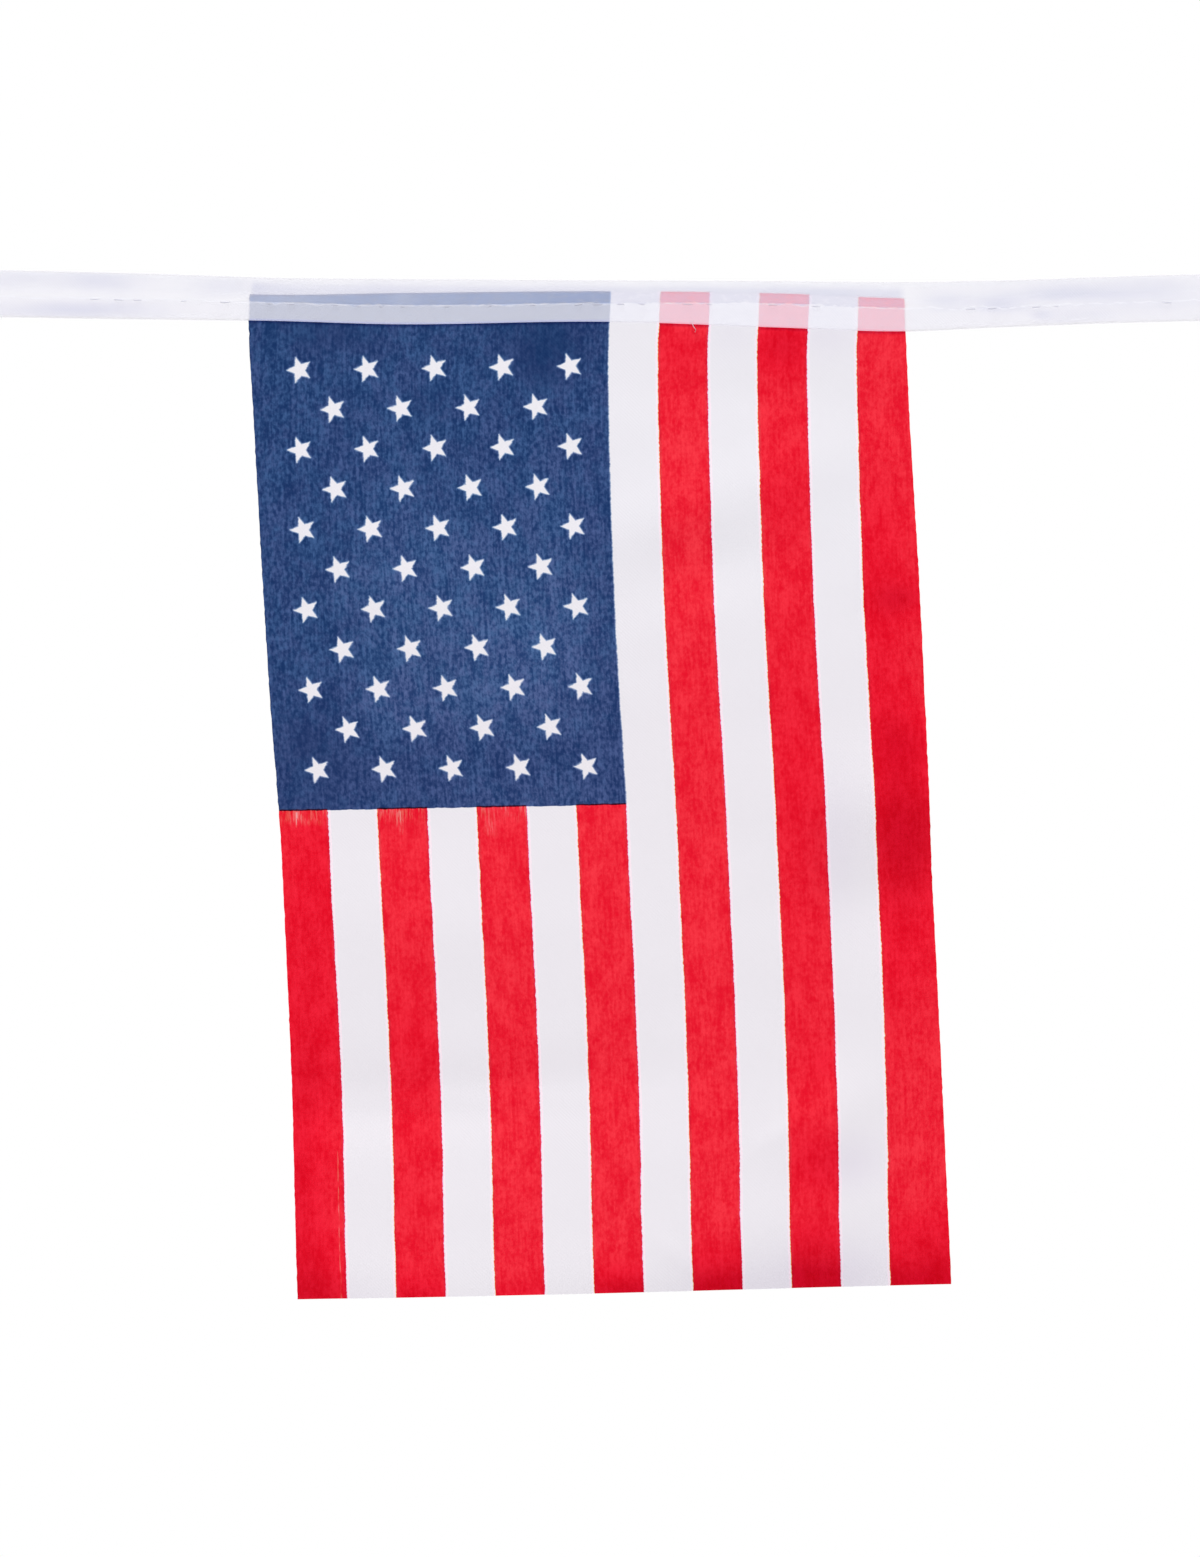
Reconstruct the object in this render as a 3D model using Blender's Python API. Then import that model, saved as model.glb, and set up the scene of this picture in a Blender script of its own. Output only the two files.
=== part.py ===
"""Fabric bunting: one printed flag whose top edge is caught in a folded header tape.

The tape is a ribbon with both long edges turned in, folded lengthwise over the flag. Its own
sag, the slant of the cut flag and the soft folds in the cloth come from the short tables below.
Sizes are in millimetres, and the origin is the middle of the tape's top edge: +X runs along
the tape, +Z points up and the printed side faces -Y.
"""

import math

import bpy

MM = 0.001

# Cloth
SHEET = 1.0  # thickness of every layer
GAP = 0.3  # air between layers that lie against each other
FLAG_ACROSS = 30  # cells from side to side
FLAG_DOWN = 48  # cells from top to bottom

# Tape, at stations from its left end to its right end. "hem" is the inner limit of the
# turned-in edges and "tuck" the height that the flag's top edge reaches inside.
TAPE_STATIONS = 40
BEND_STEPS = 6  # straight runs in each half-round bend
EASE_STEPS = 4  # straight runs where a leg closes in above its hem
TAPE_COLUMNS = ("x", "top", "bottom", "hem", "tuck")
TAPE_ROWS = (
    (-150.0, 2.6, -8.3, -3.6, -1.6),
    (-100.0, 1.4, -9.1, -4.4, -2.4),
    (-75.0, 0.6, -9.4, -5.1, -3.4),
    (-45.0, 0.3, -10.2, -5.8, -3.0),
    (0.0, 0.0, -9.6, -5.3, -2.6),
    (40.0, -0.2, -10.9, -5.4, -3.1),
    (68.0, -0.4, -11.8, -6.4, -4.2),
    (90.0, -0.1, -10.9, -6.2, -4.0),
    (120.0, 0.9, -9.8, -5.1, -3.1),
    (150.0, 1.7, -9.1, -4.4, -2.4),
)

# The flag's cut sides: where each lies at a few heights. The cloth leans to the right.
SIDE_COLUMNS = ("z", "left", "right")
SIDE_ROWS = (
    (-2.0, -80.6, 69.5),
    (-32.0, -79.2, 70.8),
    (-73.0, -76.9, 73.2),
    (-101.0, -75.1, 74.5),
    (-128.0, -73.0, 75.6),
    (-176.0, -70.8, 77.9),
    (-233.0, -69.2, 80.6),
)
BOTTOM_LEFT = -233.2
BOTTOM_RIGHT = -229.8

# Soft folds: each is a long smooth swelling. "rise" is towards the viewer, or away if it is
# negative, and "turn" is the angle in degrees that its length makes with the tape.
FOLD_COLUMNS = ("x", "z", "along", "across", "turn", "rise")
FOLD_ROWS = (
    (41.0, -25.0, 20.0, 8.0, 0.0, -0.7),
    (24.0, -51.0, 30.0, 8.0, 18.0, 1.0),
    (24.0, -67.0, 26.0, 8.0, 14.0, -0.6),
    (68.0, -64.0, 12.0, 9.0, 10.0, 0.7),
    (-45.0, -70.0, 34.0, 12.0, -50.0, 1.3),
    (76.0, -115.0, 24.0, 12.0, 8.0, 2.6),
    (76.0, -141.0, 26.0, 11.0, 6.0, -1.2),
    (-50.0, -149.0, 62.0, 17.0, -2.0, 1.7),
    (-46.0, -188.0, 60.0, 9.0, 3.0, -1.5),
    (54.0, -190.0, 15.0, 8.0, 35.0, 1.0),
    (46.0, -237.0, 42.0, 13.0, 2.0, -3.4),
    (-68.0, -237.0, 16.0, 9.0, -6.0, -1.3),
)
BILLOW = 2.6  # how far the middle of the flag stands out in front of its two sides
SIDE_CURL = 1.2  # how far the lower right side swings back
RELAX = 24.0  # length below the tape over which the folds grow to their full depth


def columns(rows, names):
    """The columns of a table, by name."""
    return {name: [row[i] for row in rows] for i, name in enumerate(names)}


TAPE = columns(TAPE_ROWS, TAPE_COLUMNS)
SIDES = columns(SIDE_ROWS, SIDE_COLUMNS)


def smooth_at(places, values, place):
    """Reads a smooth curve through the points (places, values) at a place."""
    if places[0] > places[-1]:
        places, values = places[::-1], values[::-1]
    place = min(max(place, places[0]), places[-1])
    last = len(places) - 1
    i = next((k for k in range(last) if place <= places[k + 1]), last - 1)

    def slope(k):
        a, b = max(k - 1, 0), min(k + 1, last)
        return (values[b] - values[a]) / (places[b] - places[a])

    run = places[i + 1] - places[i]
    t = (place - places[i]) / run
    return (
        values[i] * (1 - t) ** 2 * (1 + 2 * t)
        + values[i + 1] * t**2 * (3 - 2 * t)
        + slope(i) * run * t * (1 - t) ** 2
        - slope(i + 1) * run * t**2 * (1 - t)
    )


def tape_at(x, column):
    return smooth_at(TAPE["x"], TAPE[column], x)


def ease(t):
    """0 below 0, 1 above 1 and a soft step between."""
    t = min(max(t, 0.0), 1.0)
    return t * t * (3 - 2 * t)


def fold_depth(x, z):
    """How far the soft folds alone bring the cloth towards the viewer."""
    depth = 0.0
    for row in FOLD_ROWS:
        fold = dict(zip(FOLD_COLUMNS, row, strict=True))
        turn = math.radians(fold["turn"])
        dx, dz = x - fold["x"], z - fold["z"]
        along = (dx * math.cos(turn) + dz * math.sin(turn)) / fold["along"]
        across = (dz * math.cos(turn) - dx * math.sin(turn)) / fold["across"]
        depth += fold["rise"] * math.exp(-(along**2) - across**2)
    return depth


def cloth_depth(u, v, x, z):
    """The flag's distance in front of the tape's middle, 0 where the tape holds it."""
    bow = BILLOW * math.sin(math.pi * u) * math.sin(math.pi * min(v * 0.75, 0.5))
    curl = SIDE_CURL * ease((u - 0.6) / 0.4) * ease((v - 0.3) / 0.7)
    free = ease((tape_at(x, "bottom") - z) / RELAX)
    return free * (bow - curl + fold_depth(x, z))


def flag_point(u, v):
    """The middle of the cloth at the share u of its width and v of its length."""
    x = -75.0 + 150.0 * u
    for _ in range(3):  # the sides lean, so x and z settle together
        top = tape_at(x, "tuck")
        bottom = BOTTOM_LEFT + (BOTTOM_RIGHT - BOTTOM_LEFT) * u
        z = top + (bottom - top) * v
        left = smooth_at(SIDES["z"], SIDES["left"], z)
        right = smooth_at(SIDES["z"], SIDES["right"], z)
        x = left + (right - left) * u
    return x, -cloth_depth(u, v, x, z), z


def grid_mesh(name, rows):
    """An open sheet of quads through rows of points given in millimetres."""
    wide = len(rows[0])
    points = [(x * MM, y * MM, z * MM) for row in rows for x, y, z in row]
    faces = [
        (r * wide + c, r * wide + c + 1, (r + 1) * wide + c + 1, (r + 1) * wide + c)
        for r in range(len(rows) - 1)
        for c in range(wide - 1)
    ]
    mesh = bpy.data.meshes.new(name)
    mesh.from_pydata(points, [], faces)
    mesh.update()
    return mesh


def bend(centre_y, centre_z, radius, start, end):
    """Points of a round bend in the tape's section, angles in degrees from +Y towards +Z."""
    angles = [start + (end - start) * k / BEND_STEPS for k in range(BEND_STEPS + 1)]
    return [
        (
            centre_y + radius * math.cos(math.radians(angle)),
            centre_z + radius * math.sin(math.radians(angle)),
        )
        for angle in angles
    ]


def half_section(top, bottom, hem, tuck):
    """The middle of the ribbon from its turned-in edge, on the viewer's side, to its top fold."""
    inner = SHEET + GAP  # the hem lies beside the flag
    outer = 2 * (SHEET + GAP)  # the leg lies outside the hem
    radius = (outer - inner) / 2
    low = bottom + SHEET / 2 + radius
    fold = top - SHEET / 2 - radius
    points = [(-inner, hem)]
    points += bend(-inner - radius, low, radius, 0, -180)
    start = hem + GAP
    for k in range(EASE_STEPS + 1):  # the leg closes in on the flag's top edge
        t = k / EASE_STEPS
        points.append((-outer + (outer - inner) * ease(t), start + (tuck - start) * t))
    points.append((-radius, fold))
    return points, fold, radius


def tape_section(x):
    """The middle of the ribbon across the tape: turned-in edge, over the top, turned-in edge."""
    front, fold, radius = half_section(*(tape_at(x, c) for c in TAPE_COLUMNS[1:]))
    over = bend(0.0, fold, radius, 180, 0)
    back = [(-y, z) for y, z in reversed(front)]
    return [(x, y, z) for y, z in front + over[1:-1] + back]


def thick(obj):
    """Gives a sheet its thickness, half to each side."""
    modifier = obj.modifiers.new("thickness", "SOLIDIFY")
    modifier.thickness = SHEET * MM
    modifier.offset = 0.0
    modifier.use_even_offset = True
    modifier.use_quality_normals = True


def cloth_material(name, colour, roughness, alpha=1.0):
    material = bpy.data.materials.new(name)
    material.use_nodes = True
    shader = material.node_tree.nodes["Principled BSDF"]
    shader.inputs["Base Color"].default_value = (*colour, 1.0)
    shader.inputs["Roughness"].default_value = roughness
    shader.inputs["Metallic"].default_value = 0.0
    shader.inputs["Alpha"].default_value = alpha
    return material


def add_object(name, mesh, material):
    obj = bpy.data.objects.new(name, mesh)
    bpy.context.scene.collection.objects.link(obj)
    mesh.materials.append(material)
    mesh.shade_smooth()
    return obj


def make_flag():
    rows = [
        [flag_point(c / FLAG_ACROSS, r / FLAG_DOWN) for c in range(FLAG_ACROSS + 1)]
        for r in range(FLAG_DOWN + 1)
    ]
    material = cloth_material("printed_cloth", (0.56, 0.09, 0.14), 0.85)
    flag = add_object("flag_panel", grid_mesh("flag_panel", rows), material)
    thick(flag)
    return flag


def make_tape():
    first, last = TAPE["x"][0], TAPE["x"][-1]
    rows = [
        tape_section(first + (last - first) * k / TAPE_STATIONS)
        for k in range(TAPE_STATIONS + 1)
    ]
    material = cloth_material("tape_cloth", (0.86, 0.86, 0.92), 0.7, alpha=0.6)
    tape = add_object("header_tape", grid_mesh("header_tape", rows), material)
    thick(tape)
    return tape


def main():
    for obj in list(bpy.data.objects):
        bpy.data.objects.remove(obj, do_unlink=True)
    make_flag()
    make_tape()


main()
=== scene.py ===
"""Looks of one bunting flag on its folded header tape.

Both solids are cloth, so each is replaced by a thin sheet on the same folds: the printed flag,
and the half-sheer ribbon with its turned-in edges. Sewing thread, light and camera are added.
Tables are in millimetres in the frame's axes: +X to the viewer's right, +Z up, the printed side
facing -Y.
"""

import math

import bpy
import numpy as np
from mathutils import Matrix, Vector


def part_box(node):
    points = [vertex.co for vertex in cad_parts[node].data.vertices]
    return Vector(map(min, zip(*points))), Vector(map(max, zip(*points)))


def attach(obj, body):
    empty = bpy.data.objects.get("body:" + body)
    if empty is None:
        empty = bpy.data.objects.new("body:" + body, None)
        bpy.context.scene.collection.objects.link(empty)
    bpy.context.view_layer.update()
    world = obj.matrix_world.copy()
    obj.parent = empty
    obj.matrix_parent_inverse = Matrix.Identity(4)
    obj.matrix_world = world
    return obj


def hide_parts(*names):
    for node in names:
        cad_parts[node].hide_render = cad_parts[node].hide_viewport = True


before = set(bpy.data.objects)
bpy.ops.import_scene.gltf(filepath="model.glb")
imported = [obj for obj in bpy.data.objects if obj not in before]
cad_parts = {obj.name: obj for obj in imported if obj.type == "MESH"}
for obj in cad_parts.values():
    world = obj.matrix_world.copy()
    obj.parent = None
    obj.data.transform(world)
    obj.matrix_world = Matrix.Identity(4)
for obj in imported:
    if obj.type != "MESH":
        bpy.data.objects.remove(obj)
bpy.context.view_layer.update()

MM = 0.001

# Camera, in metres: square on to the flag. The view is as tall as the photograph, at the flag's
# distance.
CAMERA_DISTANCE = 1.6
CAMERA_CLIP = (0.1, 20.0)
VIEW_HEIGHT = 0.356
VIEW_CENTRE_Z = -0.114
SENSOR = 36.0

# Light, in metres: big soft lamps, far enough away to light the flag evenly. "share" is the part
# of full white that each gives on the face of the flag that it meets.
WORLD_SHARE = 0.14
LAMP_SPREAD = 0.6  # the angle that each lamp fills, in radians
LAMP_COLUMNS = ("name", "place", "share")
LAMP_ROWS = (
    ("key_light", (-0.7, -2.0, 3.0), 0.45),
    ("fill_light", (1.6, -2.4, 0.2), 0.10),
    ("back_light", (0.8, 2.0, 2.4), 0.42),
)
FLOOR_DROP = 0.6  # below the flag
FLOOR_HALF = 2.4
FLOOR_CLOUDS = (0.8, 0.8)  # width and length of its faint clouds
FLOOR_DARKER = 0.97  # and how dark they are, as a share of its colour

# The tape's places along its length, as in the solids: "hem" is the inner limit of the
# turned-in edges and "tuck" the height that the flag's top edge reaches inside.
TAPE_COLUMNS = ("x", "top", "bottom", "hem", "tuck")
TAPE_ROWS = (
    (-150.0, 2.6, -8.3, -3.6, -1.6),
    (-100.0, 1.4, -9.1, -4.4, -2.4),
    (-75.0, 0.6, -9.4, -5.1, -3.4),
    (-45.0, 0.3, -10.2, -5.8, -3.0),
    (0.0, 0.0, -9.6, -5.3, -2.6),
    (40.0, -0.2, -10.9, -5.4, -3.1),
    (68.0, -0.4, -11.8, -6.4, -4.2),
    (90.0, -0.1, -10.9, -6.2, -4.0),
    (120.0, 0.9, -9.8, -5.1, -3.1),
    (150.0, 1.7, -9.1, -4.4, -2.4),
)
HEM_OUT = 0.45  # from the tape's middle to its turned-in edges
LEG_OUT = 0.95  # and to its outer legs
FOLD_RADIUS = 0.35  # of the fold along the top
TAPE_STATIONS = 300
HEM_STEPS = 6
LEG_STEPS = 12
BEND_STEPS = 6

# Painted shade in the ribbon: more lavender places where its shape turns from the light, and
# painted light in paler ones where "tint" is negative.
TINT_COLUMNS = ("x", "z", "along", "across", "tint")
RIBBON_SHADE_AND_LIGHT_ROWS = (
    (-114.0, -0.2, 10.0, 2.6, 0.75),
    (-120.0, -6.8, 17.0, 1.7, 0.75),
    (-85.0, -1.6, 9.0, 2.5, 0.45),
    (-134.0, 0.6, 12.0, 1.9, 0.45),
    (-146.0, -1.5, 8.0, 2.5, 0.35),
    (-85.0, -7.8, 9.0, 2.2, -0.40),
    (79.0, -4.7, 5.5, 2.2, 0.70),
    (91.0, -5.5, 6.0, 2.0, 0.90),
    (84.0, -9.6, 11.0, 2.0, -0.30),
    (106.0, -3.2, 12.0, 2.0, 0.95),
    (101.0, -8.1, 2.5, 1.2, 0.50),
    (112.0, -8.0, 8.0, 1.8, 0.25),
    (127.0, -2.6, 14.0, 3.2, 0.60),
    (48.0, -3.0, 9.0, 1.6, 0.25),
)
HAZE_ROWS = (  # paler or deeper places over the blue, in the same columns
    (-72.0, -4.0, 8.5, 5.0, 0.9),
    (-45.0, -4.0, 3.0, 5.0, 0.9),
    (-29.0, -4.0, 4.0, 5.0, -0.3),
    (-5.0, -4.0, 13.0, 5.0, -0.7),
)
# The strip over the flag's top edge is painted shade as well.
TINT_OVER_FLAG = 0.85  # the most, in the strip over the flag's top edge,
TINT_START = 0.4  # which begins this far below the tape's top
TINT_RUN = 2.2  # and is full after this
TINT_EDGE = 1.0  # length over which the ribbon's tint changes at the flag's sides
TINT_CLOUDY = 0.5  # how far its clouds change the tint, at most about half of this either way
HEM_EDGE = 0.4  # length over which its look changes at the flag's cut sides and the hem
TUCK_EDGE = (0.1, -0.7)  # and how far above and below the flag's top edge
LAYERS_PARTED = (0.4, 1.3)  # strength of the gaps between its layers, on the hem and above it
HEM_WAVE = 1.6  # how far the hem strays from its even run, at most about half of this,
TUCK_WAVE = 0.6  # and how far the flag's top edge does
WAVE_LENGTH = 6.0
TUCK_START = 400.0  # the place in the noise where the second wave starts

# Fine lines in the ribbon: along the hem's edge, painted shade along the folds at the bottom and
# the top, and a painted highlight on the bottom fold over the flag. Each is gone at the first
# distance from its middle and full at the second.
HEM_LINE_BELOW = 0.15  # the middle of the hem's bright edge, under the hem's inner limit
HEM_LINE = (0.30, 0.08)
HEM_LINE_SHARE = 0.8
HEM_LINE_BREAKS = (0.30, 0.60)  # noise at which it is broken and whole
BOTTOM_LINE = (0.60, 0.25)
TOP_LINE = (0.60, 0.20)
TOP_LINE_SHARE = 0.7

# The flag's cut sides and bottom edge, and its soft folds, as in the solids but for the top of
# the left side, which juts out a little below the tape. A fold is a long smooth swelling: "rise"
# is towards the viewer, or away if negative, and "turn" the angle in degrees that its length
# makes with the tape.
SIDE_COLUMNS = ("z", "left", "right")
SIDE_ROWS = (
    (-2.0, -80.1, 69.5),
    (-12.0, -80.3, 69.9),
    (-32.0, -79.2, 70.8),
    (-73.0, -76.9, 73.2),
    (-101.0, -75.1, 74.5),
    (-128.0, -73.0, 75.6),
    (-176.0, -70.8, 77.9),
    (-233.0, -69.2, 80.6),
)
BOTTOM_LEFT = -233.2
BOTTOM_RIGHT = -229.8
FOLD_COLUMNS = ("x", "z", "along", "across", "turn", "rise")
FOLD_ROWS = (
    (41.0, -25.0, 20.0, 8.0, 0.0, -0.7),
    (24.0, -51.0, 30.0, 8.0, 18.0, 1.0),
    (24.0, -67.0, 26.0, 8.0, 14.0, -0.6),
    (68.0, -64.0, 12.0, 9.0, 10.0, 0.7),
    (-45.0, -70.0, 34.0, 12.0, -50.0, 1.3),
    (76.0, -115.0, 24.0, 12.0, 8.0, 2.6),
    (76.0, -141.0, 26.0, 11.0, 6.0, -1.2),
    (-50.0, -149.0, 62.0, 17.0, -2.0, 1.7),
    (-46.0, -188.0, 60.0, 9.0, 3.0, -1.5),
    (54.0, -190.0, 15.0, 8.0, 35.0, 1.0),
    (46.0, -237.0, 42.0, 13.0, 2.0, -3.4),
    (-68.0, -237.0, 16.0, 9.0, -6.0, -1.3),
)
BILLOW = 2.6  # how far the middle of the flag stands out in front of its two sides
BILLOW_WAVES = 0.75  # half waves of it in the flag's length, level after the crest
SIDE_CURL = 1.2  # how far the lower right side swings back,
CURL_ACROSS = 0.6  # from this share of the flag's width
CURL_DOWN = 0.3  # and this share of its length
RELAX = 24.0  # length below the tape over which the folds grow to their full depth

# Creases too fine for the solids, in the folds' columns.
CREASE_ROWS = (
    (41.0, -195.0, 7.0, 2.2, 32.0, 0.25),
    (-30.0, -187.5, 34.0, 2.5, 0.5, 0.22),
    (18.0, -223.0, 8.0, 2.5, -37.0, 0.3),
    (5.0, -237.0, 75.0, 6.0, 1.0, -1.1),
    (-66.0, -236.0, 10.0, 7.0, -6.0, -0.3),
)
RIPPLE_COUNT = 16  # long low waves that make the cloth slightly uneven
RIPPLE_SHORT = 9.0
RIPPLE_LONG = 40.0
RIPPLE_SLOPE = 0.006  # of each wave's flanks

FLAG_WIDE = 150.0
FLAG_LONG = 230.0
FLAG_CELL = 1.0
FRAY = 0.04  # unevenness of the cut sides

# Print. "across" is measured over the stripes from the left border and "down" from the tape's
# top fold. The print runs slightly askew on the cut cloth: "seam" is where the canton's right
# border lies at some heights, and "pitch" the width of a stripe there.
STRIPE = 11.36
STRIPES = 13
CANTON_STRIPES = 7  # that it is wide
CANTON_DEPTH = 119.9
SKEW = 0.019  # how steeply the print's level lines rise to the right
PRINT_SHIFT = 0.17  # the cloth stands nearer to the camera than the tape's middle
PRINT_COLUMNS = ("z", "seam", "pitch")
PRINT_ROWS = (
    (-2.5, 2.30, 11.36),
    (-9.5, 2.00, 11.36),
    (-17.0, 1.72, 11.36),
    (-33.0, 1.83, 11.40),
    (-50.0, 2.30, 11.40),
    (-72.0, 3.06, 11.40),
    (-94.0, 4.20, 11.40),
    (-116.0, 5.60, 11.38),
    (-138.0, 6.63, 11.37),
    (-165.0, 7.95, 11.34),
    (-198.0, 9.07, 11.31),
    (-214.0, 9.30, 11.30),
    (-233.0, 9.95, 11.32),
)
STAR_RADIUS = 3.11
STAR_NOTCH = 0.435  # the notches' radius over the points' radius
STAR_BLUNT = 2.93  # radius at which the points are cut blunt
STAR_STRETCH = 1.05  # down the flag
STAR_STEP_ACROSS = 15.44  # between the stars of one row
STAR_STEP_DOWN = 18.31  # between rows that have their stars in the same columns
STAR_MIDDLE = 39.7  # the middle star of the first row, across
STAR_FIRST = 19.04  # and down
STAR_FIELD_ACROSS = (4.8, 74.6)  # the field that holds the fifty
STAR_FIELD_DOWN = (14.5, 115.3)
STAR_SHIFT = (0.21, 0.64)  # the stars' plate lies this far across and down,
STAR_SKEW = 0.0055  # turned a little
STAR_LEAN = 0.0015  # and drawn out to the right lower down,
STAR_SQUEEZE = 0.00007  # more so at its left,
STAR_DATUM = 30.0  # all counted from this far down
PLATE_SHIFT = 0.08  # how far the yellow plate lies to the left of the magenta one
EDGE_BLUR = 0.16  # width of the print's soft edges
BLUE_BLUR = 0.28  # the blue plate's softer edge, half its width,
BLUE_SET = 0.07  # whose middle lies this far inside the blue
RIM = (0.1, 0.35, 0.75)  # a pale rim outside each red stripe: where it starts, peaks and ends
BEAD = (-0.05, -0.30, -0.70)  # and the bead of ink inside it
EDGE_SHAKE = 0.30  # a fine and a slow shake each move its edges by at most half of this
OVERPRINT = 0.14  # how far the canton's ink runs over the stripes below it
CANTON_MARGIN = 1.0  # how far past its side no red is printed, inside a white stripe
# Painted shadow of the tape: a dark line on the inks just under its bottom edge.
TAPE_SHADOW_LINE = (-0.2, 0.1, 0.9)  # the dark line under the tape: where it starts, peaks and ends
TAPE_SHADOW_BREAKS = (0.2, 0.5)  # flecks at which it is broken and whole

# Places where the print took too little ink, at "across" from "top" to "bottom". Fine streaks
# also start at the canton's lower border, in the stripes on the left.
DRY_COLUMNS = ("across", "top", "bottom", "width", "loss")
DRY_ROWS = (
    (4.2, 120.3, 124.4, 0.50, 0.42),
    (5.5, 120.0, 124.0, 8.00, 0.16),
    (27.7, 120.3, 124.6, 1.80, 0.24),
    (28.0, 120.3, 126.4, 0.60, 0.30),
    (48.3, 120.3, 127.6, 2.10, 0.10),
    (10.0, 198.0, 240.0, 0.25, 0.16),
)
DRY_TOP = 0.3  # half the length of a dry place's soft top
DRY_END = 2.0  # length of its soft end
DRY_BROKEN = (0.42, 0.64, 0.1, 1.3)  # two values of the noise, and the share of loss at each
STARVED_ACROSS = 60.0  # the fine streaks lie to the left of this
STARVED_LENGTH = 4.6
STARVED_LOSS = 0.18
STARVED_STREAKS = (0.46, 0.72)  # noise at which nothing and all of this is lost

# Places where the ink lies deeper, or thinner if "depth" is negative, in the folds' columns.
# Where "depth" is positive it also paints shade: in the folds, along the bottom and under the tape.
INK_AND_SHADE_COLUMNS = ("x", "z", "along", "across", "turn", "depth")
INK_AND_SHADE_ROWS = (
    (65.0, -100.0, 9.0, 55.0, 1.5, 0.40),
    (64.0, -62.0, 9.0, 22.0, 0.0, 0.16),
    (66.0, -73.0, 9.0, 5.0, 10.0, 0.20),
    (66.0, -104.0, 8.0, 9.0, 0.0, 0.13),
    (73.0, -126.0, 13.0, 18.0, 8.0, 0.60),
    (70.0, -154.0, 10.0, 22.0, 2.0, 0.30),
    (45.0, -123.0, 9.0, 160.0, 2.1, 0.20),
    (45.0, -114.0, 8.0, 32.0, 2.0, 0.17),
    (42.0, -50.0, 8.0, 9.0, 0.0, 0.19),
    (42.0, -15.0, 9.0, 7.0, 0.0, 0.55),
    (51.0, -202.0, 9.0, 8.0, 20.0, 0.36),
    (49.0, -219.0, 9.0, 5.0, 0.0, 0.28),
    (18.0, -16.0, 8.0, 7.0, 0.0, 0.32),
    (18.0, -26.0, 8.0, 5.0, 0.0, 0.12),
    (18.0, -41.0, 6.0, 8.0, 0.0, -0.50),
    (20.0, -73.0, 7.0, 5.0, 0.0, -0.40),
    (21.0, -101.0, 8.0, 12.0, 0.0, 0.15),
    (26.0, -224.0, 12.0, 9.0, 0.0, 0.22),
    (4.0, -232.0, 12.0, 8.0, 0.0, 0.35),
    (50.0, -232.0, 34.0, 9.0, 2.0, 0.95),
    (0.0, -237.0, 80.0, 8.5, 1.0, 0.62),
    (80.0, -224.0, 10.0, 15.0, 0.0, 0.45),
    (-26.0, -177.0, 30.0, 10.0, 0.0, 0.20),
    (-43.0, -190.0, 9.0, 60.0, 0.0, 0.25),
    (-42.0, -234.0, 10.0, 6.0, 0.0, 0.25),
    (-20.0, -198.0, 7.0, 6.0, 0.0, -0.40),
    (-67.0, -165.0, 10.0, 85.0, -2.0, 0.50),
    (-66.0, -182.0, 9.0, 10.0, 0.0, 0.10),
    (-66.0, -229.0, 12.0, 12.0, 0.0, 0.40),
    (-12.0, -14.0, 10.0, 7.0, 0.0, 1.00),
    (-66.0, -106.0, 10.0, 6.0, 0.0, 0.35),
    (-18.0, -84.0, 20.0, 15.0, 10.0, -0.50),
    (-36.0, -76.0, 34.0, 24.0, 0.0, -0.50),
    (-32.0, -97.0, 26.0, 8.0, 0.0, -0.35),
    (-47.0, -66.0, 6.0, 32.0, 0.0, -0.30),
    (-11.0, -66.0, 6.0, 34.0, 0.0, -0.30),
    (-63.0, -12.0, 13.0, 4.5, 0.0, 0.70),
    (-13.0, -22.0, 6.0, 5.0, 0.0, 0.60),
    (-40.0, -29.0, 5.0, 4.0, 0.0, 0.50),
    (-34.0, -61.0, 5.0, 5.0, 0.0, -0.35),
    (-59.0, -69.0, 5.0, 5.0, 0.0, -0.35),
    (-49.0, -98.0, 5.0, 5.0, 0.0, -0.40),
    (-20.0, -118.0, 12.0, 3.5, 0.0, -0.35),
    (-4.0, -128.0, 6.0, 9.0, 0.0, -0.45),
    (25.0, -62.0, 6.0, 4.0, 0.0, -0.60),
    (71.0, -73.0, 6.0, 4.0, 0.0, 0.30),
    (73.0, -106.0, 9.0, 7.0, 0.0, 0.28),
    (52.0, -179.0, 5.0, 5.0, 0.0, 0.22),
    (70.0, -218.0, 8.0, 5.0, 0.0, 0.26),
    (-70.0, -206.0, 6.0, 14.0, 0.0, 0.25),
)

# Painted shade: slightly grey and lavender places in the bare cloth, in the same columns.
PAINTED_SHADE_ROWS = (
    (53.0, -129.0, 7.0, 17.0, 0.0, 0.60),
    (57.0, -202.0, 8.0, 6.0, 20.0, 0.65),
    (53.0, -228.0, 14.0, 8.0, 0.0, 0.90),
    (30.0, -231.0, 12.0, 7.0, 0.0, 0.50),
    (-62.0, -234.0, 12.0, 6.0, 0.0, 0.40),
    (52.0, -13.0, 8.0, 5.0, 0.0, 0.50),
    (30.0, -13.0, 7.0, 5.0, 0.0, 0.30),
)

# Colours, scene linear
CLOTH_WHITE = (0.850, 0.830, 0.880)
CLOTH_WARM = (0.975, 0.957, 0.955)  # over the plain white, lower down the flag
# the tint of the painted shade on the bare cloth
CLOTH_PAINTED_SHADE = (0.915, 0.895, 0.945)
YELLOW_INK = (1.0, 0.63, 0.10)  # what each ink lets through
MAGENTA_THIN = (1.12, 0.070, 0.67)
MAGENTA_DEEP = (0.96, 0.013, 0.29)
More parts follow.
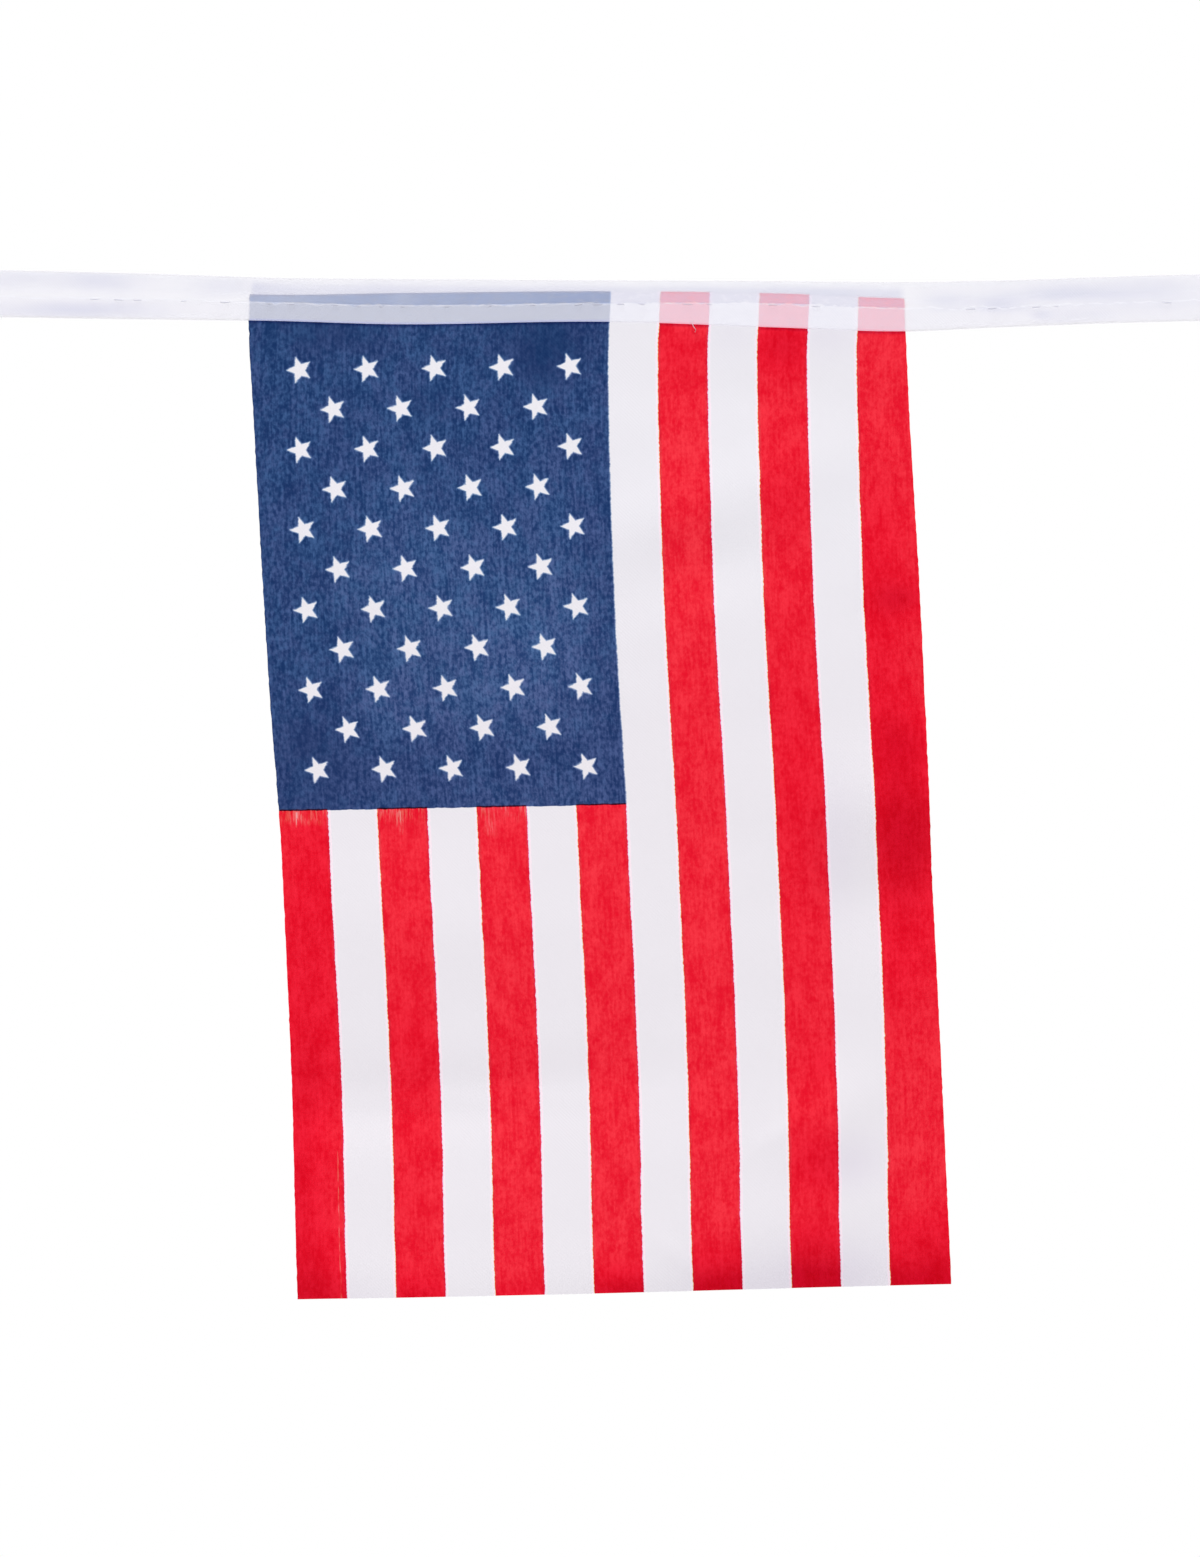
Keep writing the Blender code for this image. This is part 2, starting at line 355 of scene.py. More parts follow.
# the red in deeper ink and in the painted shade of the folds: rich, then dark where deepest
MAGENTA_RICH_AND_SHADED = (0.96, 0.43, 0.71)  # where the red lies deeper
MAGENTA_DARK_AND_SHADED = (0.78, 0.22, 0.54)  # and where it is soaked right through
MAGENTA_LIFT = (1.03, 1.30, 1.15)  # where it lies thinner
RIM_TINT = (1.18, 1.0, 1.05)
BEAD_TINT = (0.86, 1.45, 1.15)
BLUE_DEEP = (0.0120, 0.0410, 0.146)
BLUE_THIN = (0.0675, 0.1310, 0.312)
BLUE_SOAKED_AND_SHADED = (0.0120, 0.0380, 0.135)
BLUE_TEAL = (0.845, 1.02, 1.01)  # its tint over most of the canton
BLUE_VIOLET = (1.15, 0.985, 1.00)  # and towards the bottom and the right of it
INK_LIFT = (1.70, 1.50, 1.32)  # where the blue lies thinner
# the painted shadow of the tape on the blue and on the red
BLUE_TAPE_SHADOW = (0.38, 0.38, 0.60)  # on the inks close under the tape
RED_TAPE_SHADOW = (0.66, 0.34, 0.74)
TAPE_PALE = (0.895, 0.885, 0.945)
TAPE_LAVENDER = (0.70, 0.70, 0.84)
TAPE_EDGE = (0.92, 0.92, 0.99)  # the turned-in edge
# painted shade along the ribbon's folds
TAPE_FOLD_SHADE = (0.775, 0.765, 0.81)  # the folds along the top and the bottom, where it is lavender
TAPE_FOLD_PALE_SHADE = (0.87, 0.86, 0.90)  # and where it is pale
# The ribbon over the flag: its colour over each of the flag's colours paints the shade it gives the
# flag and the flag's light bounced back through it.
ONE_LAYER = ((0.71, 0.71, 0.85), (0.71, 0.79, 0.97), (0.64, 0.70, 0.91))  # on white, red, blue
TWO_LAYERS = ((0.895, 0.89, 0.97), (0.90, 0.73, 0.84), (0.715, 0.73, 0.835))
HAZE_THIN = (0.85, 0.88, 0.94)
HAZE_THICK = (1.15, 1.12, 1.06)
# painted highlight on the bottom fold where the ribbon lies on the flag's white, red and blue
FOLD_HIGHLIGHT = ((0.87, 0.865, 0.95), (0.98, 0.66, 0.80), (0.68, 0.70, 0.95))
THREAD_WHITE = (0.60, 0.60, 0.68)
FLOOR_PALE = (0.80, 0.80, 0.81)
TAPE_ALPHA = 0.56
SHEEN_ROUGHNESS = 0.5

# How the colours lie
WARM_RUN = (40.0, 120.0)  # the cloth grows warmer between these two places down the flag
RED_LIMITS = (0.36, 0.65)  # mottling at which the ink is deepest and thinnest
BLUE_LIMITS = (0.37, 0.67)
# Depths of ink and painted shade over which the red turns rich and dark, and the most they change
# the blue
RICH_DEPTH_AND_SHADE = (0.0, 0.5)  # depths of ink over which the red turns rich
DARK_DEPTH_AND_SHADE = (0.4, 1.0)  # and dark
BLUE_SOAK_AND_SHADE = 0.7  # the most that soaking changes the blue
VIOLET_SPOTS = (0.35, 0.65, 0.0, 0.8)  # two values of the noise, and the violet at each
VIOLET_DOWN = (78.0, CANTON_DEPTH, 0.0, 0.5)  # two places down the flag, and the violet at each
VIOLET_ACROSS = (60.0, CANTON_STRIPES * STRIPE, 0.0, 0.25)  # and across it

# Noise: the width and length of its spots, how many finer layers it has and how strong they are.
GRAIN = (0.72, 1.6, 2.0, 0.5)
FLECKS = (0.9, 1.0, 2.0, 0.58)
CLOUDS = (4.0, 7.0, 4.0, 0.65)
THREADS = (0.62, 13.0, 1.0, 0.5)  # single threads that took more or less ink
RED_MOTTLE = (0.21, 0.22, 0.43, 0.14)  # shares of those four in the mottling of the red
BLUE_MOTTLE = (0.30, 0.29, 0.26, 0.15)  # and of the blue
FINE_SHAKE = (1.6, 0.7, 1.0, 0.5)  # in the print's edges
SLOW_SHAKE = (3.0, 6.0, 1.0, 0.5)
DRY_STREAKS = (0.42, 3.5, 2.0, 0.5)
VIOLET_CLOUDS = (7.0, 9.0, 4.0, 0.8)
RIBBON_CLOUDS = (3.5, 14.0, 2.0, 0.5)
RIBBON_GAPS = (0.9, 2.5, 2.0, 0.5)  # where its layers cling together or part
RIBBON_BREAKS = (0.5, 2.5, 1.0, 0.5)  # in the hem's bright edge
WAVE_DETAIL = 3.0

# Cloth detail
WEAVE_PITCH = 0.42
RIBBON_PITCH = 0.36
WEAVE_HEIGHT = 0.03
FIBRE_SHARE = 0.3  # height of the grain over the height of the weave
GRAIN_LIMITS = (0.2, 0.8)  # noise at which a cloth is smoothest and roughest
CLOTH_ROUGHNESS = (0.80, 0.92)
RIBBON_ROUGHNESS = (0.60, 0.72)
PLY = (0.2, 0.1)  # width and length of the thread's own fine twist
PLY_HEIGHT = 0.02
PLY_SHARE = 0.25  # of the darker colour in it

# Sewing
STITCH_PITCH = 5.0
STITCH_LENGTH = (0.9, 2.2)
STITCH_BELOW = 0.4  # under the hem's inner limit
STITCH_STRAY = 0.4  # along the tape, either way
STITCH_SLANT = 0.12  # of each half, up or down
STITCH_ARCH = 1.6  # height of its arch in the thread's radii
STITCH_ROUND = 0.98  # how nearly the arch is a half circle
STITCH_MISSED = 0.45  # share of the stitches that stay hidden
STITCH_LINES = ((-1, 0.5), (1, 1.0))  # way that each line faces, and its start in pitches
LOOSE_THREAD = ((21.0, -9.6), (21.3, -10.6), (21.9, -11.5), (21.7, -12.0))  # x and z
THREAD_RADIUS = 0.08
THREAD_SIDES = 6
THREAD_STEPS = 8


def columns(rows, names):
    """The columns of a table, by name, as arrays."""
    return {name: np.array([row[i] for row in rows]) for i, name in enumerate(names)}


def table_rows(rows, names):
    """The rows of a table as dictionaries."""
    return [dict(zip(names, row, strict=True)) for row in rows]


TAPE = columns(TAPE_ROWS, TAPE_COLUMNS)
SIDES = columns(SIDE_ROWS, SIDE_COLUMNS)
PRINT = columns(PRINT_ROWS, PRINT_COLUMNS)


# ---------------------------------------------------------------- shapes


def smooth_at(places, values, place):
    """Reads a smooth curve through the points (places, values) at an array of places."""
    if places[0] > places[-1]:
        places, values = places[::-1], values[::-1]
    place = np.clip(place, places[0], places[-1])
    last = len(places) - 1
    i = np.clip(np.searchsorted(places, place) - 1, 0, last - 1)

    def slope(k):
        a, b = np.maximum(k - 1, 0), np.minimum(k + 1, last)
        return (values[b] - values[a]) / (places[b] - places[a])

    run = places[i + 1] - places[i]
    t = (place - places[i]) / run
    return (
        values[i] * (1 - t) ** 2 * (1 + 2 * t)
        + values[i + 1] * t**2 * (3 - 2 * t)
        + slope(i) * run * t * (1 - t) ** 2
        - slope(i + 1) * run * t**2 * (1 - t)
    )


def tape_at(x, column):
    return smooth_at(TAPE["x"], TAPE[column], x)


def ease(t):
    """0 below 0, 1 above 1 and a soft step between."""
    t = np.clip(t, 0.0, 1.0)
    return t * t * (3 - 2 * t)


def swell(x, z, fold):
    """A smooth swelling of height 1 with a long and a short radius, turned by an angle."""
    turn = math.radians(fold.get("turn", 0.0))
    dx, dz = x - fold["x"], z - fold["z"]
    along = (dx * math.cos(turn) + dz * math.sin(turn)) / fold["along"]
    across = (dz * math.cos(turn) - dx * math.sin(turn)) / fold["across"]
    return np.exp(-(along**2) - across**2)


def ripple(x, z):
    """The cloth's slight unevenness: long low waves in every direction."""
    draw = np.random.default_rng(11)
    depth = np.zeros_like(x)
    for _ in range(RIPPLE_COUNT):
        wave = draw.uniform(RIPPLE_SHORT, RIPPLE_LONG)
        way = draw.uniform(0.0, math.pi)
        start = draw.uniform(0.0, 2 * math.pi)
        phase = 2 * math.pi / wave * (x * math.cos(way) + z * math.sin(way)) + start
        depth += RIPPLE_SLOPE * wave / (2 * math.pi) * np.sin(phase)
    return depth


def swells(rows, names, x, z):
    """The sum of a table's swellings, each as high as its last column says."""
    return sum(row[names[-1]] * swell(x, z, row) for row in table_rows(rows, names))


def grown(share, start):
    """0 up to a share of the flag's width or length, and 1 at its far end."""
    return ease((share - start) / (1 - start))


def cloth_depth(u, v, x, z):
    """The flag's distance in front of the tape's middle, 0 where the tape holds it."""
    down = np.sin(math.pi * np.minimum(v * BILLOW_WAVES, 0.5))
    bow = BILLOW * np.sin(math.pi * u) * down
    curl = SIDE_CURL * grown(u, CURL_ACROSS) * grown(v, CURL_DOWN)
    relief = swells(FOLD_ROWS + CREASE_ROWS, FOLD_COLUMNS, x, z)
    free = ease((tape_at(x, "bottom") - z) / RELAX)
    return free * (bow - curl + relief + ripple(x, z))


def flag_points(u, v):
    """The cloth at shares u of its width and v of its length, as rows of points."""
    x = -FLAG_WIDE / 2 + FLAG_WIDE * u
    for _ in range(3):  # the sides lean, so x and z settle together
        top = tape_at(x, "tuck")
        bottom = BOTTOM_LEFT + (BOTTOM_RIGHT - BOTTOM_LEFT) * u
        z = top + (bottom - top) * v
        left = smooth_at(SIDES["z"], SIDES["left"], z)
        right = smooth_at(SIDES["z"], SIDES["right"], z)
        x = left + (right - left) * u
    return np.stack([x, -cloth_depth(u, v, x, z), z], axis=-1)


def fray(points):
    """Makes the cut sides slightly uneven."""
    draw = np.random.default_rng(3)
    for side in (0, -1):
        points[:, side, 0] += draw.normal(0.0, FRAY, len(points))


def star_place(place):
    """Where each point of the flag lies on the stars' own plate."""
    across, down = place[..., 0], place[..., 1]
    seam = CANTON_STRIPES * STRIPE
    drawn_out = STAR_LEAN + STAR_SQUEEZE * (seam - across)
    star_across = across - (STAR_SHIFT[0] + (down - STAR_DATUM) * drawn_out)
    star_down = down - STAR_SHIFT[1] - STAR_SKEW * (across - seam)
    return np.stack([star_across, star_down, np.zeros_like(across)], axis=-1)


def print_place(points):
    """Where each point of the flag lies on its print: across the stripes and down them."""
    x, z = points[..., 0], points[..., 2]
    seam = smooth_at(PRINT["z"], PRINT["seam"], z)
    pitch = smooth_at(PRINT["z"], PRINT["pitch"], z)
    across = (x - seam - PRINT_SHIFT) * STRIPE / pitch + CANTON_STRIPES * STRIPE
    return np.stack([across, SKEW * x - z, np.zeros_like(x)], axis=-1)


def grid(down, across):
    """Shares (v, u) at the points of a grid of cells."""
    return np.meshgrid(np.linspace(0, 1, down + 1), np.linspace(0, 1, across + 1), indexing="ij")


def sheet_object(name, points, v, u, material):
    """An open sheet of quads through a grid of points given in millimetres."""
    rows, wide = points.shape[:2]
    at = np.arange(rows * wide).reshape(rows, wide)
    corners = (at[:-1, :-1], at[1:, :-1], at[1:, 1:], at[:-1, 1:])
    faces = np.stack(corners, axis=-1).reshape(-1, 4)
    mesh = bpy.data.meshes.new(name)
    mesh.from_pydata((points.reshape(-1, 3) * MM).tolist(), [], faces.tolist())
    layer = mesh.uv_layers.new(name="OFBake")
    places = np.stack([u, 1 - v], axis=-1).reshape(-1, 2)
    layer.data.foreach_set("uv", places[faces.ravel()].astype(np.float32).ravel())
    return add_object(name, mesh, material)


def add_object(name, mesh, material):
    mesh.materials.append(material)
    mesh.shade_smooth()
    obj = bpy.data.objects.new(name, mesh)
    bpy.context.scene.collection.objects.link(obj)
    return obj


def give(obj, name, values):
    """Stores a number or a vector for each point of a piece."""
    kind, key = ("FLOAT_VECTOR", "vector") if values.shape[-1:] == (3,) else ("FLOAT", "value")
    attribute = obj.data.attributes.new(name, kind, "POINT")
    attribute.data.foreach_set(key, values.astype(np.float32).ravel())


def arc(centre_y, centre_z, radius, start, end):
    """A round bend in the tape's section, angles in degrees from +Y towards +Z."""
    angles = np.radians(np.linspace(start, end, BEND_STEPS + 1))
    return [(centre_y + radius * math.cos(a), centre_z + radius * math.sin(a)) for a in angles]


def tape_section(x):
    """The ribbon across the tape: turned-in edge, bottom bend, leg, top fold, and back again."""
    top, bottom, hem, tuck = (float(tape_at(x, name)) for name in TAPE_COLUMNS[1:])
    radius = (LEG_OUT - HEM_OUT) / 2
    low = bottom + radius
    fold = top - FOLD_RADIUS
    front = [(-HEM_OUT, hem + (low - hem) * k / HEM_STEPS) for k in range(HEM_STEPS)]
    front += arc(-HEM_OUT - radius, low, radius, 0, -180)
    for k in range(1, LEG_STEPS):
        t = k / LEG_STEPS
        z = low + (fold - low) * t
        closing = float(ease((z - hem) / (tuck - hem)))
        front.append((-LEG_OUT + (LEG_OUT - FOLD_RADIUS) * closing, z))
    over = arc(0.0, fold, FOLD_RADIUS, 180, 0)
    back = [(-y, z) for y, z in reversed(front)]
    return [(x, y, z) for y, z in front + over + back]


def tape_ends():
    """Where the tape starts and ends, along it."""
    return [corner.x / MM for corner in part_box("header_tape")]


def ribbon_points():
    stations = np.linspace(*tape_ends(), TAPE_STATIONS + 1)
    return np.array([tape_section(x) for x in stations])


# ---------------------------------------------------------------- materials


class Tree:
    """A material's node tree. Each call adds one node and returns its output."""

    def __init__(self, name):
        self.material = bpy.data.materials.new(name)
        self.material.use_nodes = True
        self.nodes = self.material.node_tree.nodes
        self.links = self.material.node_tree.links
        self.shader = self.nodes["Principled BSDF"]

    def feed(self, socket, value):
        """Links an output to a socket, or sets the socket to a plain value."""
        if isinstance(value, bpy.types.NodeSocket):
            self.links.new(value, socket)
        else:
            socket.default_value = value

    def attribute(self, name, output):
        node = self.nodes.new("ShaderNodeAttribute")
        node.attribute_type = "GEOMETRY"
        node.attribute_name = name
        return node.outputs[output]

    def split(self, vector):
        node = self.nodes.new("ShaderNodeSeparateXYZ")
        self.feed(node.inputs[0], vector)
        return node.outputs[0], node.outputs[1]

    def math(self, operation, *values, clamp=False):
        node = self.nodes.new("ShaderNodeMath")
        node.operation = operation
        node.use_clamp = clamp
        for socket, value in zip(node.inputs, values):
            self.feed(socket, value)
        return node.outputs[0]

    def add(self, *values):
        total = values[0]
        for value in values[1:]:
            total = self.math("ADD", total, value)
        return total

    def times(self, *values):
        product = values[0]
        for value in values[1:]:
            product = self.math("MULTIPLY", product, value)
        return product

    def step(self, value, low, high, first=0.0, last=1.0):
        """A soft step of the value from first at low to last at high."""
        node = self.nodes.new("ShaderNodeMapRange")
        node.interpolation_type = "SMOOTHSTEP"
        for socket, given in zip(node.inputs, (value, low, high, first, last)):
            self.feed(socket, given)
        return node.outputs[0]

    def mix(self, share, first, second, blend="MIX"):
        node = self.nodes.new("ShaderNodeMix")
        node.data_type = "RGBA"
        node.blend_type = blend
        self.feed(node.inputs[0], share)
        for socket, colour in zip(node.inputs[6:8], (first, second)):  # the two colour sockets
            self.feed(socket, (*colour, 1.0) if isinstance(colour, tuple) else colour)
        return node.outputs[2]

    def over(self, share, colour, tint):
        """The colour with a share of a tint, or of a layer of ink, laid over it."""
        return self.mix(share, colour, tint, "MULTIPLY")

    def power(self, colour, share):
        """The light that a share of a layer of ink lets through."""
        node = self.nodes.new("ShaderNodeGamma")
        self.feed(node.inputs[0], colour)
        self.feed(node.inputs[1], share)
        return node.outputs[0]

    def noise(self, place, wide, long, detail, rough):
        """Soft noise from 0 to 1 whose spots are wide x long in the place's own units."""
        scaled = self.nodes.new("ShaderNodeVectorMath")
        scaled.operation = "MULTIPLY"
        self.feed(scaled.inputs[0], place)
        scaled.inputs[1].default_value = (1.0 / wide, 1.0 / long, 1.0)
        node = self.nodes.new("ShaderNodeTexNoise")
        node.noise_dimensions = "2D"
        self.feed(node.inputs["Vector"], scaled.outputs[0])
        node.inputs["Scale"].default_value = 1.0
        node.inputs["Detail"].default_value = detail
        node.inputs["Roughness"].default_value = rough
        return node.outputs[0]

    def swing(self, noise, width):
        """A noise from 0 to 1 made to swing as far below 0 as above it."""
        return self.times(self.add(noise, -0.5), width)

    def weave(self, across, down, pitch):
        """The height of a plain weave: threads of one pitch passing over and under."""
        over = self.math("SINE", self.times(across, math.pi / pitch))
        under = self.math("SINE", self.times(down, math.pi / pitch))
        return self.times(over, under)

    def bump(self, height, distance, strength):
        node = self.nodes.new("ShaderNodeBump")
        node.inputs["Strength"].default_value = strength
        node.inputs["Distance"].default_value = distance
        self.feed(node.inputs["Height"], height)
        self.links.new(node.outputs[0], self.shader.inputs["Normal"])

    def finish(self, colour, roughness, specular=0.2, sheen=0.0, alpha=1.0):
        self.feed(self.shader.inputs["Base Color"], colour)
        self.feed(self.shader.inputs["Roughness"], roughness)
        self.shader.inputs["Sheen Weight"].default_value = sheen
        self.shader.inputs["Sheen Roughness"].default_value = SHEEN_ROUGHNESS
        self.shader.inputs["Alpha"].default_value = alpha
        self.shader.inputs["Specular IOR Level"].default_value = specular
        return self.material


def star(tree, across, down, half_across, half_down):
    """One star in every cell of a lattice, given the distances from the first star's middle."""
    x = tree.math("WRAP", across, half_across, -half_across)
    y = tree.times(tree.math("WRAP", down, half_down, -half_down), 1 / STAR_STRETCH)
    radius = tree.math("SQRT", tree.add(tree.times(x, x), tree.times(y, y)))
    angle = tree.math("ARCTAN2", y, tree.times(x, -1.0))
    half_point = math.pi / 5
    folded = tree.math("PINGPONG", angle, half_point)
    notch = STAR_RADIUS * STAR_NOTCH
    notch_x, notch_y = notch * math.cos(half_point), notch * math.sin(half_point)
    edge = math.hypot(notch_y, STAR_RADIUS - notch_x)
    along = tree.times(radius, tree.math("COSINE", folded))
    aside = tree.times(radius, tree.math("SINE", folded))
    outside = tree.add(
        tree.times(tree.add(along, -STAR_RADIUS), notch_y / edge),
        tree.times(aside, (STAR_RADIUS - notch_x) / edge),
    )
    outside = tree.math("MAXIMUM", outside, tree.add(radius, -STAR_BLUNT))
    return tree.step(outside, BLUE_SET + BLUE_BLUR, BLUE_SET - BLUE_BLUR)


def stars(tree, across, down):
    """All stars: two lattices, half a step apart, kept to the field that holds the fifty."""
    half_across, half_down = STAR_STEP_ACROSS / 2, STAR_STEP_DOWN / 2
    x, y = tree.add(across, -STAR_MIDDLE), tree.add(down, -STAR_FIRST)
    whole = star(tree, x, y, half_across, half_down)
    between = star(tree, tree.add(x, half_across), tree.add(y, half_down), half_across, half_down)
    field = tree.times(
        tree.math("GREATER_THAN", across, STAR_FIELD_ACROSS[0]),
        tree.math("LESS_THAN", across, STAR_FIELD_ACROSS[1]),
        tree.math("GREATER_THAN", down, STAR_FIELD_DOWN[0]),
        tree.math("LESS_THAN", down, STAR_FIELD_DOWN[1]),
    )
    return tree.times(field, tree.math("MAXIMUM", whole, between))


def from_stripes(tree, across):
    """How far a point lies outside the odd stripes, which take the red inks."""
    inner = tree.math("MAXIMUM", tree.times(across, 1 / STRIPE), 0.5)
    inner = tree.math("MINIMUM", inner, STRIPES - 0.5)  # the outer stripes run on as bleed
    wave = tree.math("PINGPONG", tree.add(inner, -0.5), 1.0)
    return tree.times(tree.add(wave, -0.5), STRIPE)


def stripes(tree, across):
    """1 on the odd stripes and 0 on the others."""
    return below(tree, from_stripes(tree, across), 0.0)


def below(tree, value, limit, blur=EDGE_BLUR / 2):
    """1 where the value is below the limit, with the print's blurred edge."""
    return tree.step(value, limit + blur, limit - blur)


def line(tree, value, start, peak, end):
    """1 at the peak, falling softly to 0 at the start and the end."""
    return tree.times(tree.step(value, start, peak), tree.step(value, end, peak))


def blend(tree, parts, shares):
    """The sum of the parts, each times its share."""
    return tree.add(*(tree.times(part, share) for part, share in zip(parts, shares, strict=True)))


def dry_places(tree, place, across, down):
    """The share of ink missing in the dry streaks."""
    missing = 0.0
    streak = tree.noise(place, *DRY_STREAKS)
    broken = tree.step(streak, *DRY_BROKEN)
    for row in table_rows(DRY_ROWS, DRY_COLUMNS):
        aside = tree.math("ABSOLUTE", tree.add(across, -row["across"]))
        spot = tree.times(
            tree.step(aside, row["width"], 0.0),
            tree.step(down, row["top"] - DRY_TOP, row["top"] + DRY_TOP),
            tree.step(down, row["bottom"], row["bottom"] - DRY_END),
            broken,
            row["loss"],
        )
        missing = tree.math("MAXIMUM", missing, spot)
    starved = tree.times(
        tree.step(streak, *STARVED_STREAKS),
        tree.step(down, CANTON_DEPTH + STARVED_LENGTH, CANTON_DEPTH),
        tree.math("GREATER_THAN", down, CANTON_DEPTH),
        tree.math("LESS_THAN", across, STARVED_ACROSS),
        STARVED_LOSS,
    )
    return tree.math("MAXIMUM", missing, starved)


def print_plates(tree, place, across, down):
    """Where each ink lies, from 0 to 1, and the fine lines along the red stripes' edges."""
    fine = tree.swing(tree.noise(place, *FINE_SHAKE), EDGE_SHAKE)
    slow = tree.swing(tree.noise(place, *SLOW_SHAKE), EDGE_SHAKE)
    across = tree.add(across, fine, slow)
    down = tree.add(down, fine)
    star_across, star_down = tree.split(tree.attribute("star_place", "Vector"))
    holes = stars(tree, tree.add(star_across, fine, slow), tree.add(star_down, fine))

    seam = CANTON_STRIPES * STRIPE
    canton_side = below(tree, across, seam - BLUE_SET, BLUE_BLUR)
    canton = tree.times(canton_side, below(tree, down, CANTON_DEPTH + OVERPRINT))
    no_red = tree.math("LESS_THAN", across, seam + CANTON_MARGIN)
    unprinted = tree.times(no_red, below(tree, down, CANTON_DEPTH - OVERPRINT))
    beside = tree.math("SUBTRACT", 1.0, unprinted)
    outside = from_stripes(tree, across)
    return {
        "blue": tree.times(canton, tree.math("SUBTRACT", 1.0, holes)),
        "magenta": tree.times(below(tree, outside, 0.0), beside),
        "yellow": tree.times(stripes(tree, tree.add(across, PLATE_SHIFT)), beside),
        "rim": tree.times(line(tree, outside, *RIM), beside),
        "bead": tree.times(line(tree, outside, *BEAD), beside),
    }


def bare_cloth(tree, down):
    """The unprinted cloth: white, warmer lower down and greyer with painted shade in places."""
    colour = tree.over(tree.step(down, *WARM_RUN), CLOTH_WHITE, CLOTH_WARM)
    return tree.over(tree.attribute("painted_cloth_shade", "Fac"), colour, CLOTH_PAINTED_SHADE)


def magenta_ink(tree, mottle, soaked_and_shaded, thinned):
    uneven = blend(tree, mottle, RED_MOTTLE)
    ink = tree.mix(tree.step(uneven, *RED_LIMITS), MAGENTA_DEEP, MAGENTA_THIN)
    ink = tree.over(tree.step(soaked_and_shaded, *RICH_DEPTH_AND_SHADE), ink, MAGENTA_RICH_AND_SHADED)
    ink = tree.over(tree.step(soaked_and_shaded, *DARK_DEPTH_AND_SHADE), ink, MAGENTA_DARK_AND_SHADED)
    return tree.over(thinned, ink, MAGENTA_LIFT)


def blue_ink(tree, mottle, soaked_and_shaded, thinned, violet):
    uneven = blend(tree, mottle, BLUE_MOTTLE)
    ink = tree.mix(tree.step(uneven, *BLUE_LIMITS), BLUE_DEEP, BLUE_THIN)
    ink = tree.mix(tree.times(soaked_and_shaded, BLUE_SOAK_AND_SHADE), ink, BLUE_SOAKED_AND_SHADED)
    ink = tree.over(thinned, ink, INK_LIFT)
    return tree.over(1.0, ink, tree.mix(violet, BLUE_TEAL, BLUE_VIOLET))


def violet_share(tree, place, across, down):
    """How far the canton's blue leans to violet."""
    return tree.add(
        tree.step(tree.noise(place, *VIOLET_CLOUDS), *VIOLET_SPOTS),
        tree.step(down, *VIOLET_DOWN),
        tree.step(across, *VIOLET_ACROSS),
    )


def printed_cloth():
    tree = Tree("printed_cloth")
    place = tree.attribute("print_place", "Vector")
    across, down = tree.split(place)
    plates = print_plates(tree, place, across, down)
    mottle = [tree.noise(place, *size) for size in (GRAIN, FLECKS, CLOUDS, THREADS)]
    grain, fleck = mottle[:2]
    # Ink depth, and painted shade where it is positive
    depth = tree.attribute("ink_depth_and_shade", "Fac")
    soaked_and_shaded = tree.math("MAXIMUM", depth, 0.0)
    thinned = tree.math("MAXIMUM", tree.times(depth, -1.0), 0.0)
    magenta = magenta_ink(tree, mottle, soaked_and_shaded, thinned)
    violet = violet_share(tree, place, across, down)
    blue = blue_ink(tree, mottle, soaked_and_shaded, thinned, violet)

    held = tree.math("SUBTRACT", 1.0, dry_places(tree, place, across, down))
    colour = bare_cloth(tree, down)
    colour = tree.over(tree.times(plates["yellow"], held), colour, YELLOW_INK)
    colour = tree.over(tree.times(plates["magenta"], held), colour, magenta)
    colour = tree.over(plates["rim"], colour, RIM_TINT)
    colour = tree.over(plates["bead"], colour, BEAD_TINT)
    colour = tree.over(1.0, colour, tree.power(blue, plates["blue"]))
    # Painted shadow: a dark line on the inks close under the tape's bottom edge, broken by flecks.
    close = line(tree, tree.attribute("below_tape", "Fac"), *TAPE_SHADOW_LINE)
    close = tree.times(close, tree.step(fleck, *TAPE_SHADOW_BREAKS))
    colour = tree.over(tree.times(close, plates["blue"]), colour, BLUE_TAPE_SHADOW)
    colour = tree.over(tree.times(close, plates["magenta"]), colour, RED_TAPE_SHADOW)

    height = tree.add(tree.weave(across, down, WEAVE_PITCH), tree.swing(grain, FIBRE_SHARE))
    tree.bump(height, WEAVE_HEIGHT * MM, strength=0.3)
    roughness = tree.step(grain, *GRAIN_LIMITS, *CLOTH_ROUGHNESS)
    return tree.finish(colour, roughness, specular=0.03, sheen=0.01)


def ribbon_on_flag(tree, layers):
    """The ribbon's colour where it lies on the flag's white, red and blue, with painted shade and
    bounced light.
    """
    on_white, on_red, on_blue = layers
    across, down = tree.split(tree.attribute("print_place", "Vector"))
    striped = tree.mix(stripes(tree, across), on_white, on_red)
    return tree.mix(below(tree, across, CANTON_STRIPES * STRIPE), striped, on_blue)


def strayed(tree, name, along, start, width):
    """A height over an edge that strays from its even run, the same in all the ribbon's layers."""
    node = tree.nodes.new("ShaderNodeTexNoise")
    node.noise_dimensions = "1D"
    tree.feed(node.inputs["W"], tree.times(tree.add(along, start), 1.0 / WAVE_LENGTH))
    node.inputs["Scale"].default_value = 1.0
    node.inputs["Detail"].default_value = WAVE_DETAIL
    return tree.add(tree.attribute(name, "Fac"), tree.swing(node.outputs[0], width))


